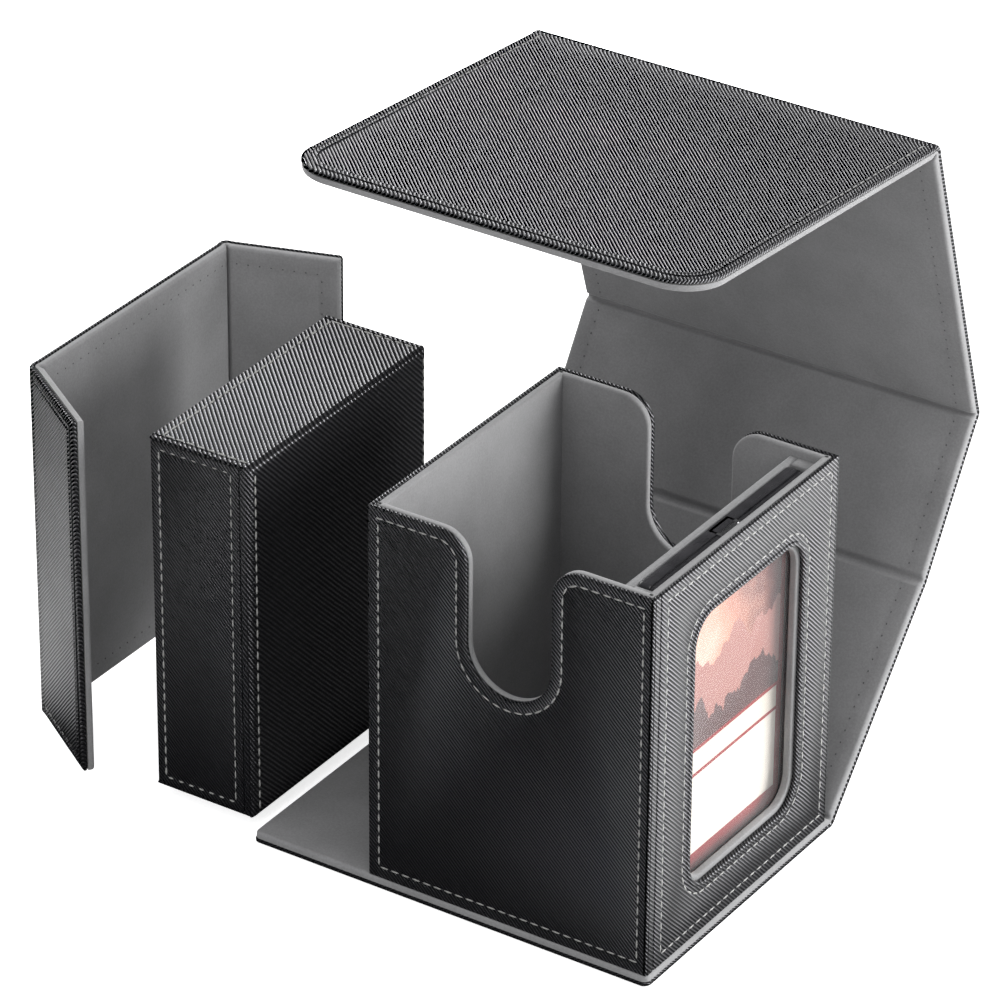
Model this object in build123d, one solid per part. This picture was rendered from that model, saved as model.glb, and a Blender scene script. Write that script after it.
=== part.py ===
"""Card deck box with a fold-over lid, a card compartment with a display window, a dice tray and its cover.

Everything is made of laminated panels: a greyboard core, leather on the outside and grey lining inside.
X runs along the front, Y from front to back and Z up. The origin is the centre of the base's underside.
The lid stands open, and the tray and its cover stand pulled off to the left of their places.
"""
import os
from math import cos, radians, sin

from build123d import *

os.makedirs("parts", exist_ok=True)

# The three layers of every panel
SKIN_T = 0.7
BOARD_T = 2.0
LINING_T = 0.6
PANEL_T = SKIN_T + BOARD_T + LINING_T

# Folds: each crease is a leather roll as thick as a panel, and the panels stop a little short of it
ROLL_R = PANEL_T / 2
FOLD_GAP = 0.3
FOLD_REACH = ROLL_R + FOLD_GAP

# Card compartment: the room for the stack of sleeved cards, and the corners of its walls
STACK_WIDTH = 65.7
CORNER_R = 0.8

# Finger cut in the front and back walls: straight sides, round bottom, rounded shoulders
CUT_WIDTH = 24.0
CUT_DEPTH = 41.0
CUT_SHOULDER_R = 8.0

# Display window in the right wall, with what is left of the wall below and above it, how much of the case
# it covers at each side, and the narrow lining lip inside it
WINDOW_SILL = 14.0
WINDOW_HEAD = 15.0
WINDOW_COVERS = 9.7
WINDOW_R = 8.0
WINDOW_OFFSET = 1.5
WINDOW_LIP = 1.2

# Rigid card case that stands in the slot behind the window, and the card in it
CASE_SIDE_MARGIN = 3.2
CASE_END_MARGIN = 5.5
CASE_T = 5.8
CASE_BACK_T = 3.0
CASE_FRAME_W = 4.5
CASE_R = 2.0
CASE_CLEARANCE = 0.3
CASE_SEAT_GAP = 0.1
LATCH_SIZE = (5.0, 9.0, 0.8)
CARD_WIDTH = 63.0
CARD_HEIGHT = 88.0
CARD_T = 0.4
CARD_R = 3.0
CARD_CLEARANCE = 0.2
DIVIDER_T = 2.4
DIVIDER_DROP = 2.0
SPACER_LENGTH = 3.7
SPACER_SILL = 3.9

# Base panel and the room around what stands on it
EDGE_MARGIN = 0.5
BASE_CORNER_R = 2.0
DOCK_GAP = 0.3

# Lid: four panels in a chain from the base's back edge, with its rest angles measured up from +Y
LID_TOP_GAP = 1.15
LID_FRONT_GAP = 0.45
FLAP_FLOOR_GAP = 0.6
BACK_LOWER_LENGTH = 65.0
FLAP_CORNER_R = 12.0
BACK_LOWER_ANGLE = 49.0
BACK_UPPER_ANGLE = 58.2
LID_TOP_ANGLE = 107.8
FRONT_FLAP_ANGLE = 175.4

# Dice tray: a shallow box, open on its left side
TRAY_DEPTH = 30.5
TRAY_TOP_DROP = 4.2
TRAY_EDGE_R = 1.5
TRAY_SEAM_INSET = 3.5
TRAY_SEAM_W = 0.4
TRAY_STAND_OFF = 2.0

# Tray cover: a middle panel with a flap at the front and at the back
COVER_RISE = 1.0
COVER_FLAP_MARGIN = 0.95
COVER_PULL_LEFT = 41.9
COVER_PULL_BACK = 14.2
COVER_FRONT_SPLAY = 34.0
COVER_BACK_SPLAY = 19.0

# Magnets: discs in holes right through the boards, each face a little below the board's
MAGNET_R = 4.0
MAGNET_SINK = 0.2
MAGNET_CLEARANCE = 0.05
FLAP_MAGNET_SPACING = 42.0
FLAP_MAGNET_HEIGHT = 37.5
TRAY_MAGNET_SPACING = 72.0
FACE_MAGNET_SPACING = 50.0

# Sizes that follow from the ones above
magnet_t = BOARD_T - 2 * MAGNET_SINK
case_width = CARD_WIDTH + 2 * CASE_SIDE_MARGIN
case_height = CARD_HEIGHT + 2 * CASE_END_MARGIN
stack_length = case_width + 2 * (CASE_CLEARANCE + SPACER_LENGTH)
wall_height = SPACER_SILL + CASE_SEAT_GAP + case_height + DIVIDER_DROP
window_width = case_width - 2 * WINDOW_COVERS
window_height = wall_height - WINDOW_SILL - WINDOW_HEAD
slot_t = CASE_T + 2 * CASE_CLEARANCE
box_width = PANEL_T + STACK_WIDTH + DIVIDER_T + slot_t + PANEL_T
box_depth = stack_length + 2 * PANEL_T
base_width = box_width + TRAY_DEPTH + PANEL_T + 2 * DOCK_GAP + 2 * EDGE_MARGIN
base_depth = box_depth + 2 * EDGE_MARGIN
floor_z = PANEL_T
wall_top_z = floor_z + wall_height
stack_left_x = base_width / 2 - EDGE_MARGIN - box_width + PANEL_T
box_left_x = stack_left_x - PANEL_T
box_right_x = box_left_x + box_width
box_middle_x = (box_left_x + box_right_x) / 2
divider_x = stack_left_x + STACK_WIDTH
slot_left_x = divider_x + DIVIDER_T
slot_right_x = slot_left_x + slot_t
stack_front_y = -stack_length / 2
divider_top_z = wall_top_z - DIVIDER_DROP
case_bottom_z = floor_z + SPACER_SILL + CASE_SEAT_GAP

hinge_y = base_depth / 2 + FOLD_REACH
hinge_z = PANEL_T / 2
lid_top_z = wall_top_z + LID_TOP_GAP + PANEL_T / 2
back_upper_length = lid_top_z - hinge_z - BACK_LOWER_LENGTH
lid_top_length = hinge_y + base_depth / 2 + LID_FRONT_GAP + PANEL_T / 2
front_flap_length = lid_top_z - FLAP_FLOOR_GAP

tray_length = box_depth - 2 * (PANEL_T + DOCK_GAP)
tray_right_x = -base_width / 2 - TRAY_STAND_OFF
tray_left_x = tray_right_x - TRAY_DEPTH
tray_bottom_z = floor_z + DOCK_GAP
tray_height = wall_top_z - TRAY_TOP_DROP - tray_bottom_z
tray_middle_z = tray_bottom_z + tray_height / 2

cover_fold_offset = DOCK_GAP + PANEL_T / 2
cover_middle_length = tray_length + 2 * cover_fold_offset
cover_flap_length = TRAY_DEPTH - COVER_FLAP_MARGIN + cover_fold_offset
cover_fold_x = tray_left_x - cover_fold_offset - COVER_PULL_LEFT
cover_back_fold_y = cover_middle_length / 2 + COVER_PULL_BACK
cover_front_fold_y = cover_back_fold_y - cover_middle_length
cover_height = tray_height + COVER_RISE
cover_middle_z = tray_bottom_z + cover_height / 2


def block(x, y, z):
    """A box from three (low, high) pairs."""
    size = [high - low for low, high in (x, y, z)]
    middle = [(low + high) / 2 for low, high in (x, y, z)]
    return Pos(*middle) * Box(*size)


def write(node, shape):
    """Writes one node's solid, or its group of solids."""
    solids = shape.solids()
    body = solids[0] if len(solids) == 1 else Compound(children=list(solids))
    export_step(body, f"parts/{node}.step")


# Laminated panels. A panel lies in its local XY plane with its crease at Y = 0 and its lining towards +Z


def panel_outline(width, start, end, corner_r):
    """The panel's outline between two distances from its crease, with both corners rounded at the far end."""
    outline = Pos(0, (start + end) / 2) * Rectangle(width, abs(end - start))
    if not corner_r:
        return outline
    far = outline.vertices().filter_by(lambda v: abs(v.Y - end) < 0.01)
    return fillet(far, corner_r)


def disc_at(x, y, z, thickness, radius):
    """A flat disc with its axis along Z, from its middle."""
    return Pos(x, y, z) * Cylinder(radius, thickness)


def laminate(width, start, end, corner_r=0.0, magnets=()):
    """Board, skin, lining and magnets of one panel. The skin is a shallow pan that holds the other two."""
    outline = panel_outline(width, start, end, corner_r)
    pocket = offset(outline, -SKIN_T, kind=Kind.INTERSECTION)
    low = -PANEL_T / 2
    skin = extrude(Pos(0, 0, low) * outline, PANEL_T)
    skin -= extrude(Pos(0, 0, low + SKIN_T) * pocket, PANEL_T)
    board = extrude(Pos(0, 0, low + SKIN_T) * pocket, BOARD_T)
    lining = extrude(Pos(0, 0, low + SKIN_T + BOARD_T) * pocket, LINING_T)
    board_z = low + SKIN_T + BOARD_T / 2
    discs = []
    for x, y in magnets:
        board -= disc_at(x, y, board_z, BOARD_T, MAGNET_R + MAGNET_CLEARANCE)
        discs.append(disc_at(x, y, board_z, magnet_t, MAGNET_R))
    return board, skin, lining, discs


def write_panel(name, place, layers):
    """Writes a panel's layers where it stands."""
    board, skin, lining, discs = layers
    write(f"{name}_board", place * board)
    write(f"{name}_skin", place * skin)
    write(f"{name}_lining", place * lining)
    if discs:
        write(f"{name}_magnets", place * Compound(children=discs))


def roll(length):
    """The leather roll of a crease, along local X."""
    return Rot(0, 90, 0) * Cylinder(ROLL_R, length)


# Base and lid, one chain of panels round the box


def lid_folds():
    """The creases and panel angles from the base round to the front flap, as (y, z, angle, length)."""
    y, z = hinge_y, hinge_z
    chain = []
    for angle, length in (
        (BACK_LOWER_ANGLE, BACK_LOWER_LENGTH),
        (BACK_UPPER_ANGLE, back_upper_length),
        (LID_TOP_ANGLE, lid_top_length),
        (FRONT_FLAP_ANGLE, front_flap_length),
    ):
        chain.append((y, z, angle, length))
        y += length * cos(radians(angle))
        z += length * sin(radians(angle))
    return chain


def fold_magnets(distance):
    """The two magnets of a lid panel, in line with those in the box's wall, at a distance from the crease."""
    half = FLAP_MAGNET_SPACING / 2
    return [(box_middle_x - half, distance), (box_middle_x + half, distance)]


def make_base_and_lid():
    base_place = Pos(0, hinge_y, hinge_z)
    base_end = -FOLD_REACH - base_depth
    write_panel("base", base_place, laminate(base_width, -FOLD_REACH, base_end, BASE_CORNER_R))
    wall_magnet_z = floor_z + FLAP_MAGNET_HEIGHT
    names = ("back_lower", "back_upper", "lid_top", "front_flap")
    creases = ("crease_base", "crease_back", "crease_top", "crease_front")
    for name, crease, (y, z, angle, length) in zip(names, creases, lid_folds()):
        place = Pos(0, y, z) * Rot(angle, 0, 0)
        if name == "front_flap":
            layers = laminate(
                base_width, FOLD_REACH, length, FLAP_CORNER_R, fold_magnets(lid_top_z - wall_magnet_z)
            )
        elif name == "back_lower":
            layers = laminate(
                base_width, FOLD_REACH, length - FOLD_REACH, 0, fold_magnets(wall_magnet_z - hinge_z)
            )
        else:
            layers = laminate(base_width, FOLD_REACH, length - FOLD_REACH)
        write_panel(name, place, layers)
        write(crease, place * roll(base_width))


# Card compartment


def finger_cut(grow):
    """The U-shaped cut through front and back walls, grown by the leather that wraps its edge."""
    half = CUT_WIDTH / 2 + grow
    bottom = wall_top_z - CUT_DEPTH
    shoulder = CUT_SHOULDER_R - grow
    top = wall_top_z - grow
    with BuildSketch(Plane.XZ) as sketch:
        with BuildLine():
            Line((-half - shoulder, top), (-half - shoulder, top + 2 * CUT_SHOULDER_R))
            Line((-half - shoulder, top + 2 * CUT_SHOULDER_R), (half + shoulder, top + 2 * CUT_SHOULDER_R))
            Line((half + shoulder, top + 2 * CUT_SHOULDER_R), (half + shoulder, top))
            RadiusArc((half + shoulder, top), (half, top - shoulder), -shoulder)
            Line((half, top - shoulder), (half, bottom + CUT_WIDTH / 2))
            RadiusArc((half, bottom + CUT_WIDTH / 2), (-half, bottom + CUT_WIDTH / 2), half)
            Line((-half, bottom + CUT_WIDTH / 2), (-half, top - shoulder))
            RadiusArc((-half, top - shoulder), (-half - shoulder, top), -shoulder)
        make_face()
    return Pos(box_middle_x, 0, 0) * extrude(sketch.sketch, base_depth, both=True)


def window_cut(grow):
    """The rounded window through the right wall, grown by the leather that wraps its edge."""
    outline = RectangleRounded(window_width + 2 * grow, window_height + 2 * grow, WINDOW_R + grow)
    middle_z = floor_z + WINDOW_SILL + window_height / 2
    at_wall = Plane(origin=(slot_right_x, WINDOW_OFFSET, middle_z), x_dir=(0, 1, 0), z_dir=(1, 0, 0))
    return extrude(at_wall * outline, PANEL_T + 1, both=True)


def across_wall(point, direction, thickness, radius):
    """A disc standing in a wall, with its axis along X or Y."""
    turn = Rot(0, 90, 0) if direction == "x" else Rot(90, 0, 0)
    return Pos(*point) * turn * Cylinder(radius, thickness)


def wall_boards():
    """The boards of the four walls, each with its outer face one skin inside the box's."""
    x0, x1 = box_left_x + SKIN_T, box_right_x - SKIN_T
    y0, y1 = -box_depth / 2 + SKIN_T, box_depth / 2 - SKIN_T
    z = (floor_z, wall_top_z - SKIN_T)
    between = (x0 + BOARD_T, x1 - BOARD_T)
    cut = finger_cut(SKIN_T)
    return {
        "left": block((x0, x0 + BOARD_T), (y0, y1), z),
        "front": block(between, (y0, y0 + BOARD_T), z) - cut,
        "back": block(between, (y1 - BOARD_T, y1), z) - cut,
        "window": block((x1 - BOARD_T, x1), (y0, y1), z) - window_cut(SKIN_T),
    }


def wall_magnet_places():
    """Where the magnets stand in the walls: facing the lid's panels, and facing the tray's large face."""
    half = FLAP_MAGNET_SPACING / 2
    low = floor_z + FLAP_MAGNET_HEIGHT
    inset = SKIN_T + BOARD_T / 2
    places = []
    for wall, y in (("front", -box_depth / 2 + inset), ("back", box_depth / 2 - inset)):
        places += [(wall, (box_middle_x + side * half, y, low), "y") for side in (-1, 1)]
    for side in (-1, 1):
        point = (box_left_x + inset, 0, tray_middle_z + side * FACE_MAGNET_SPACING / 2)
        places.append(("left", point, "x"))
    return places


def make_compartment():
    outer = block((box_left_x, box_right_x), (-box_depth / 2, box_depth / 2), (floor_z, wall_top_z))
    outer = fillet(outer.edges().filter_by(Axis.Z), CORNER_R)
    inside_x = (stack_left_x, slot_right_x)
    inside_y = (stack_front_y, -stack_front_y)
    lined_x = (stack_left_x - LINING_T, slot_right_x + LINING_T)
    lined_y = (stack_front_y - LINING_T, -stack_front_y + LINING_T)
    lined = block(lined_x, lined_y, (floor_z, wall_top_z))
    cut = finger_cut(0)
    boards = wall_boards()
    skin = outer - lined - cut - window_cut(0)
    for board in boards.values():
        skin -= board
    lining = lined - block(inside_x, inside_y, (floor_z, wall_top_z)) - cut - window_cut(-WINDOW_LIP)
    magnets = []
    for wall, point, direction in wall_magnet_places():
        boards[wall] -= across_wall(point, direction, BOARD_T, MAGNET_R + MAGNET_CLEARANCE)
        magnets.append(across_wall(point, direction, magnet_t, MAGNET_R))
    for wall, board in boards.items():
        write(f"{wall}_wall_board", board)
    write("compartment_skin", skin)
    write("compartment_lining", lining)
    write("compartment_magnets", Compound(children=magnets))


def make_slot():
    """The divider behind the card case, and the spacers that hold the case at its ends and from below."""
    divider = block((divider_x, slot_left_x), (stack_front_y, -stack_front_y), (floor_z, divider_top_z))
    write("slot_divider", divider)
    slot = (slot_left_x, slot_right_x)
    sill_z = case_bottom_z - CASE_SEAT_GAP
    ends = (sill_z, divider_top_z)
    front = block(slot, (stack_front_y, stack_front_y + SPACER_LENGTH), ends)
    back = block(slot, (-stack_front_y - SPACER_LENGTH, -stack_front_y), ends)
    sill = block(slot, (stack_front_y, -stack_front_y), (floor_z, sill_z))
    write("slot_spacers", Compound(children=[front, back, sill]))


def make_card_case():
    """A rigid case: black back shell, black front frame with a clear panel, the card, and a latch on top."""
    middle_z = case_bottom_z + case_height / 2
    back_x = slot_left_x + CASE_CLEARANCE
    front_x = back_x + CASE_T
    split_x = back_x + CASE_BACK_T

    def slab(width, height, radius, x, thickness):
        plane = Plane(origin=(x, 0, middle_z), x_dir=(0, 1, 0), z_dir=(1, 0, 0))
        return extrude(plane * RectangleRounded(width, height, radius), thickness)

    opening_w = case_width - 2 * CASE_FRAME_W
    opening_h = case_height - 2 * CASE_FRAME_W
    recess_w = CARD_WIDTH + 2 * CARD_CLEARANCE
    recess_h = CARD_HEIGHT + 2 * CARD_CLEARANCE
    recess = slab(recess_w, recess_h, CARD_R, split_x - CARD_T - CARD_CLEARANCE, CARD_T + CARD_CLEARANCE)
    back = slab(case_width, case_height, CASE_R, back_x, CASE_BACK_T) - recess
    frame = slab(case_width, case_height, CASE_R, split_x, CASE_T - CASE_BACK_T)
    frame -= slab(opening_w, opening_h, CARD_R, split_x, CASE_T - CASE_BACK_T)
    latch_t, latch_w, latch_h = LATCH_SIZE
    latch_x = ((back_x + front_x - latch_t) / 2, (back_x + front_x + latch_t) / 2)
    top = case_bottom_z + case_height
    latch = block(latch_x, (-latch_w / 2, latch_w / 2), (top - latch_h, top))
    write("case_back_shell", back - latch)
    write("case_front_frame", frame - latch)
    write("case_clear_panel", slab(opening_w, opening_h, CARD_R, split_x, CASE_T - CASE_BACK_T))
    write("case_latch", latch)
    card_x = split_x - CARD_T - CARD_CLEARANCE / 2
    write("display_card", slab(CARD_WIDTH, CARD_HEIGHT, CARD_R, card_x, CARD_T))


# Dice tray


def tray_block(x_inset, side_inset, left_inset=0.0):
    """A block inside the tray's outer shape, inset from its face, its sides and its open left side."""
    half = tray_length / 2 - side_inset
    return block(
        (tray_left_x + left_inset, tray_right_x - x_inset),
        (-half, half),
        (tray_bottom_z + side_inset, tray_bottom_z + tray_height - side_inset),
    )


def tray_boards():
    """The five boards: the large face over all rims, top and bottom at full length, the others between."""
    under_board = SKIN_T + BOARD_T
    half = tray_length / 2
    top_z = tray_bottom_z + tray_height
    x = (tray_left_x + SKIN_T, tray_right_x - under_board)
    y = (-half + SKIN_T, half - SKIN_T)
    between_z = (tray_bottom_z + under_board, top_z - under_board)
    return {
        "face": tray_block(SKIN_T, SKIN_T, TRAY_DEPTH - under_board),
        "top": block(x, y, (top_z - under_board, top_z - SKIN_T)),
        "bottom": block(x, y, (tray_bottom_z + SKIN_T, tray_bottom_z + under_board)),
        "front": block(x, (y[0], y[0] + BOARD_T), between_z),
        "back": block(x, (y[1] - BOARD_T, y[1]), between_z),
    }


def tray_magnet_places():
    """Two magnets in each narrow side, for the cover's flaps, and two in the large face."""
    inset = SKIN_T + BOARD_T / 2
    side_x = tray_left_x + TRAY_DEPTH / 2
    places = []
    for way in (-1, 1):
        z = tray_middle_z + way * TRAY_MAGNET_SPACING / 2
        places.append(("front", (side_x, -tray_length / 2 + inset, z), "y"))
        places.append(("back", (side_x, tray_length / 2 - inset, z), "y"))
        face_z = tray_middle_z + way * FACE_MAGNET_SPACING / 2
        places.append(("face", (tray_right_x - inset, 0, face_z), "x"))
    return places


def tray_side_panel(outer_y, inner_y):
    """The stitched leather panel of a narrow side, and the seam groove beside it."""
    z = (tray_bottom_z, tray_bottom_z + tray_height)
    y = (min(outer_y, inner_y), max(outer_y, inner_y))
    end = tray_right_x - TRAY_SEAM_INSET
    return block((tray_left_x, end), y, z), block((end, end + TRAY_SEAM_W), y, z)


def make_tray():
    boards = tray_boards()
    outer = tray_block(0, 0)
    outer = fillet(outer.faces().sort_by(Axis.X)[-1].edges(), TRAY_EDGE_R)
    lined = tray_block(SKIN_T + BOARD_T, SKIN_T + BOARD_T)
    inside = tray_block(PANEL_T, PANEL_T)
    skin = outer - lined
    for board in boards.values():
        skin -= board
    half = tray_length / 2
    panels = {}
    for side, way in (("front", -1), ("back", 1)):
        panel, groove = tray_side_panel(way * half, way * (half - SKIN_T))
        panels[side] = skin & panel
        skin = skin - panel - groove
    magnets = []
    for board, point, direction in tray_magnet_places():
        boards[board] -= across_wall(point, direction, BOARD_T, MAGNET_R + MAGNET_CLEARANCE)
        magnets.append(across_wall(point, direction, magnet_t, MAGNET_R))
    for name, board in boards.items():
        write(f"tray_{name}_board", board)
    write("tray_wrap_skin", skin)
    for side, panel in panels.items():
        write(f"tray_{side}_skin", panel)
    write("tray_lining", lined - inside)
    write("tray_magnets", Compound(children=magnets))


# Tray cover, one chain of panels with upright creases


def upright(x, y, inward):
    """Places a panel on edge at a crease: its local X points up, and its lining faces along inward."""
    return Plane(origin=(x, y, cover_middle_z), x_dir=(0, 0, 1), z_dir=inward).location


def make_cover():
    middle_z_shift = tray_middle_z - cover_middle_z
    magnet_x = [middle_z_shift + way * TRAY_MAGNET_SPACING / 2 for way in (-1, 1)]
    magnet_reach = cover_fold_offset + TRAY_DEPTH / 2
    middle = upright(cover_fold_x, cover_back_fold_y, (1, 0, 0))
    front_turn = radians(-COVER_FRONT_SPLAY)
    back_turn = radians(COVER_BACK_SPLAY)
    front = upright(cover_fold_x, cover_front_fold_y, (-sin(front_turn), cos(front_turn), 0))
    back = upright(cover_fold_x, cover_back_fold_y, (sin(back_turn), -cos(back_turn), 0))
    write_panel("cover", middle, laminate(cover_height, FOLD_REACH, cover_middle_length - FOLD_REACH))
    front_magnets = [(x, magnet_reach) for x in magnet_x]
    back_magnets = [(x, -magnet_reach) for x in magnet_x]
    front_layers = laminate(cover_height, FOLD_REACH, cover_flap_length, 0, front_magnets)
    back_layers = laminate(cover_height, -FOLD_REACH, -cover_flap_length, 0, back_magnets)
    write_panel("cover_front", front, front_layers)
    write_panel("cover_back", back, back_layers)
    rolls = [front * roll(cover_height), back * roll(cover_height)]
    write("cover_creases", Compound(children=rolls))


make_base_and_lid()
make_compartment()
make_slot()
make_card_case()
make_tray()
make_cover()
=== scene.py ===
import math

import bmesh
import bpy
import numpy as np
from mathutils import Matrix, Vector


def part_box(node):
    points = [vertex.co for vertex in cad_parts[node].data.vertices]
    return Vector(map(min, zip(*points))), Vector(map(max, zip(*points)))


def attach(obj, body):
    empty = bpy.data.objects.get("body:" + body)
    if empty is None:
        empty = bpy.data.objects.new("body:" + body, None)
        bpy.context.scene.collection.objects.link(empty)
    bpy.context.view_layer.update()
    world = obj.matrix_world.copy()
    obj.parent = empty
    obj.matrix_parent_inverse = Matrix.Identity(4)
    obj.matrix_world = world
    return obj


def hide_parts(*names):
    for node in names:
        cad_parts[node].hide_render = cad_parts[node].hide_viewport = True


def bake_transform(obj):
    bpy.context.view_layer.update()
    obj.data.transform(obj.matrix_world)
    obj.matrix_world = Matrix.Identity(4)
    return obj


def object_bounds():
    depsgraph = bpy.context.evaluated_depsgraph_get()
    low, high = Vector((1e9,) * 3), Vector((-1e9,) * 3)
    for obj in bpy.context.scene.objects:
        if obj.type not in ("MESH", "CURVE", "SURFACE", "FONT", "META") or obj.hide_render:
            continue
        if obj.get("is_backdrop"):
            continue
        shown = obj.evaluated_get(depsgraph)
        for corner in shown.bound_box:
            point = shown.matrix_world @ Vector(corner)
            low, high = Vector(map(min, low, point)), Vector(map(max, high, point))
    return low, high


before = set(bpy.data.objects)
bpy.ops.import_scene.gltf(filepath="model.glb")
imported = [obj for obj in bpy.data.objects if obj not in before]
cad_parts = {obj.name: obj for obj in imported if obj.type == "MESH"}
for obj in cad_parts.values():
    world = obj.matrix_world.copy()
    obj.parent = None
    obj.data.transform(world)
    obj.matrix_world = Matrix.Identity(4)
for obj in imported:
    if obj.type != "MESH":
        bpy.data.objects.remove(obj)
cad_low, cad_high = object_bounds()
MM = 0.001

# ---------------------------------------------------------------------------
# Camera, light and floor
# A long lens looks down on the front right corner. Soft lights stand on the right, behind, above and in front;
# the front one is weak and leaves no highlights, so the front stays dark. The floor is plain and pale.

CAMERA_PLACE = Vector((0.6841, -1.0632, 0.8183))
LOOK = Vector((-0.47625, 0.72636, -0.49557)).normalized()
CAMERA_UP = Vector((-0.27864, 0.40988, 0.86854))
CAMERA_LENS = 216
CAMERA_SENSOR = 36

camera_right = LOOK.cross(CAMERA_UP).normalized()
camera_up = camera_right.cross(LOOK)
camera_data = bpy.data.cameras.new("camera")
camera_data.lens = CAMERA_LENS
camera_data.sensor_width = CAMERA_SENSOR
camera = bpy.data.objects.new("camera", camera_data)
turn = Matrix((camera_right, camera_up, -LOOK)).transposed()
camera.matrix_world = Matrix.Translation(CAMERA_PLACE) @ turn.to_4x4()
bpy.context.scene.collection.objects.link(camera)
bpy.context.scene.camera = camera
bpy.context.scene.view_settings.view_transform = "Standard"


def soft_light(name, place, target, size, watts):
    """A rectangular softbox that the camera doesn't see."""
    data = bpy.data.lights.new(name, "AREA")
    data.shape = "RECTANGLE"
    data.size, data.size_y = size
    data.energy = watts
    lamp = bpy.data.objects.new(name, data)
    lamp.location = place
    aim = Vector(target) - Vector(place)
    lamp.rotation_mode = "QUATERNION"
    lamp.rotation_quaternion = aim.to_track_quat("-Z", "Y")
    lamp.visible_camera = False
    bpy.context.scene.collection.objects.link(lamp)
    return lamp


soft_light("light_right", (1.05, 0.55, 0.38), (0.0, 0.0, 0.06), (1.0, 0.7), 30)
soft_light("light_back", (-1.15, 0.55, 0.72), (-0.02, 0.0, 0.10), (0.9, 0.6), 20)
fill = soft_light("light_fill", (0.15, -1.2, 0.55), (0.0, 0.0, 0.1), (0.8, 0.8), 5)
fill.visible_glossy = False
soft_light("light_top", (0.35, -0.25, 1.5), (0.0, 0.0, 0.0), (0.9, 0.9), 8)



def math_node(tree, operation, *values):
    """A Math node on sockets or plain numbers, and its output."""
    node = tree.nodes.new("ShaderNodeMath")
    node.operation = operation
    for socket, value in zip(node.inputs, values):
        if isinstance(value, (int, float)):
            socket.default_value = value
        else:
            tree.links.new(value, socket)
    return node.outputs[0]


def mix_colours(tree, under, over, mask):
    """Lays a colour or a colour socket over another where the mask is 1."""
    node = tree.nodes.new("ShaderNodeMix")
    node.data_type = "RGBA"
    tree.links.new(mask, node.inputs["Factor"])
    for socket, value in ((node.inputs["A"], under), (node.inputs["B"], over)):
        if isinstance(value, tuple):
            socket.default_value = value
        else:
            tree.links.new(value, socket)
    return node.outputs["Result"]


def mix_shaders(tree, under, over, mask):
    """Swaps one shader for another where the mask is 1."""
    node = tree.nodes.new("ShaderNodeMixShader")
    tree.links.new(mask, node.inputs["Fac"])
    tree.links.new(under.outputs[0], node.inputs[1])
    tree.links.new(over.outputs[0], node.inputs[2])
    return node


# The room round the box is white. It lights matt surfaces and hardly shows in glossy ones.
ROOM_SEEN = (1, 1, 1, 1)
ROOM_LIGHT = (0.70, 0.70, 0.71, 1)
ROOM_IN_GLOSS = (0.07, 0.07, 0.073, 1)

world = bpy.data.worlds.new("studio")
bpy.context.scene.world = world
world.use_nodes = True
tree = world.node_tree
tree.nodes.clear()
ray = tree.nodes.new("ShaderNodeLightPath").outputs
room = mix_colours(tree, ROOM_LIGHT, ROOM_IN_GLOSS, ray["Is Glossy Ray"])
room = mix_colours(tree, room, ROOM_SEEN, ray["Is Camera Ray"])
sky = tree.nodes.new("ShaderNodeBackground")
tree.links.new(room, sky.inputs["Color"])
tree.links.new(sky.outputs[0], tree.nodes.new("ShaderNodeOutputWorld").inputs["Surface"])

# In glossy surfaces the floor shows bright beside the box and dark in front of it.
FLOOR_SIZE = 8
FLOOR_COLOUR = (0.86, 0.86, 0.86, 1)
FLOOR_GLOW = 0.75
FLOOR_SHADED = (0.6, 0.6, 0.6, 1)
BOX_MIDDLE = -0.04
GLARE_FROM, GLARE_TO = 0.095, 0.125
GLARE_AT_MIDDLE, GLARE_RISE = 2.85, 6.0

bpy.ops.object.select_all(action="DESELECT")
bpy.ops.mesh.primitive_plane_add(size=FLOOR_SIZE, location=(0, 0, 0))
floor = bpy.context.object
floor.name = "floor"
floor_paint = bpy.data.materials.new("floor_pale")
floor_paint.use_nodes = True
tree = floor_paint.node_tree
tree.nodes.clear()
pale = tree.nodes.new("ShaderNodeBsdfDiffuse")
pale.inputs["Color"].default_value = FLOOR_COLOUR
glow = tree.nodes.new("ShaderNodeEmission")
glow.inputs["Strength"].default_value = FLOOR_GLOW
lit = tree.nodes.new("ShaderNodeAddShader")
tree.links.new(pale.outputs[0], lit.inputs[0])
tree.links.new(glow.outputs[0], lit.inputs[1])
shaded = tree.nodes.new("ShaderNodeBsdfDiffuse")
shaded.inputs["Color"].default_value = FLOOR_SHADED
floor_at = tree.nodes.new("ShaderNodeSeparateXYZ")
tree.links.new(tree.nodes.new("ShaderNodeTexCoord").outputs["Object"], floor_at.inputs[0])
beside = tree.nodes.new("ShaderNodeMapRange")
beside.interpolation_type = "SMOOTHSTEP"
beside.inputs["From Min"].default_value = GLARE_FROM
beside.inputs["From Max"].default_value = GLARE_TO
sideways = math_node(tree, "ABSOLUTE", math_node(tree, "ADD", floor_at.outputs["X"], -BOX_MIDDLE))
tree.links.new(sideways, beside.inputs["Value"])
rightward = math_node(tree, "MULTIPLY_ADD", floor_at.outputs["X"], GLARE_RISE, GLARE_AT_MIDDLE)
mirrored = tree.nodes.new("ShaderNodeEmission")
tree.links.new(math_node(tree, "MULTIPLY", beside.outputs["Result"], rightward), mirrored.inputs["Strength"])
ray = tree.nodes.new("ShaderNodeLightPath").outputs
surface = mix_shaders(tree, shaded, mirrored, ray["Is Glossy Ray"])
surface = mix_shaders(tree, surface, lit, ray["Is Camera Ray"])
tree.links.new(surface.outputs[0], tree.nodes.new("ShaderNodeOutputMaterial").inputs["Surface"])
floor.data.materials.append(floor_paint)
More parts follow.
